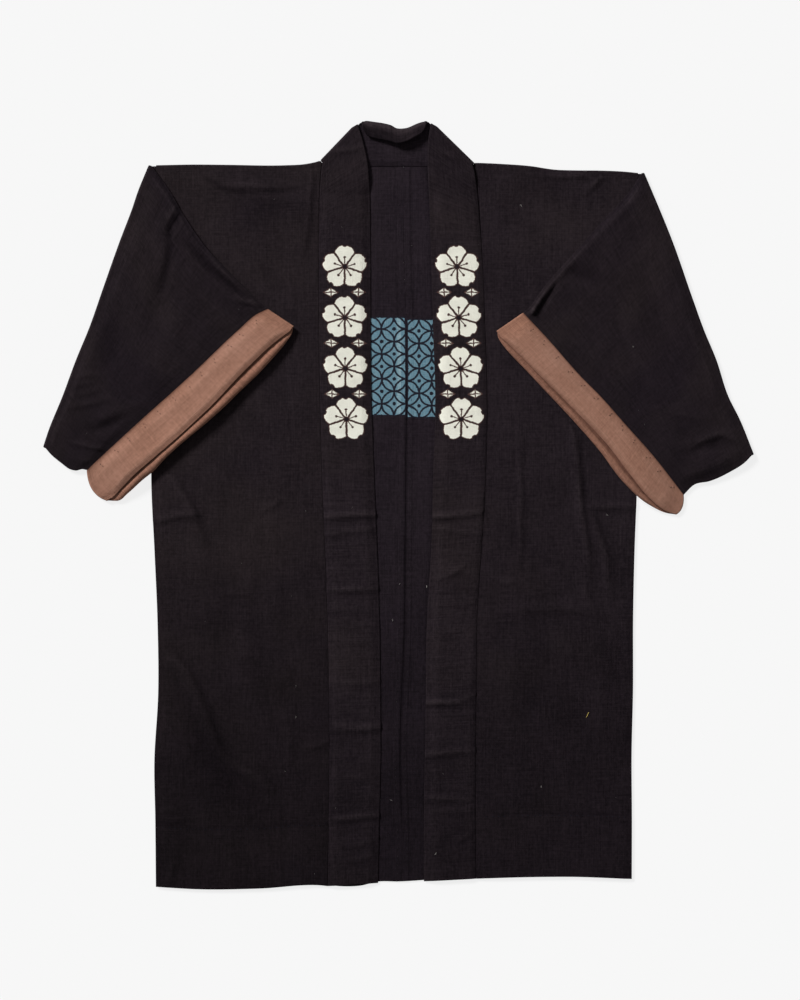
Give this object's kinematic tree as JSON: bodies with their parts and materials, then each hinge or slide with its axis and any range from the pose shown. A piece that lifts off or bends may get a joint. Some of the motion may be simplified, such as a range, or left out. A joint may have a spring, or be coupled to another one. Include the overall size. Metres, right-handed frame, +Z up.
{
  "type": "happi coat",
  "caption": "Open-fronted cotton happi coat laid flat, sleeves turned over the fronts, with a long straight collar band and banded cuffs.",
  "frame": {"origin": "on the surface that the coat lies on, under the middle of its box", "axes": "+X to the wearer's left, +Y from the hem to the neck, +Z up from the surface through the back panels to the fronts"},
  "size_m": [0.8876, 0.9603, 0.013],
  "materials": {
    "body_cloth": "matt, faded black plain-weave cotton",
    "sleeve_cloth": "matt, faded black plain-weave cotton",
    "cuff_cloth": "matt, worn brown plain-weave cotton",
    "collar_cloth": "matt, faded brownish black cotton"
  },
  "bodies": {
    "root": {"body_right": "body_cloth", "body_left": "body_cloth", "sleeve_right": "sleeve_cloth", "sleeve_left": "sleeve_cloth", "cuff_right": "cuff_cloth", "cuff_left": "cuff_cloth", "collar": "collar_cloth"}
  },
  "joints": []
}
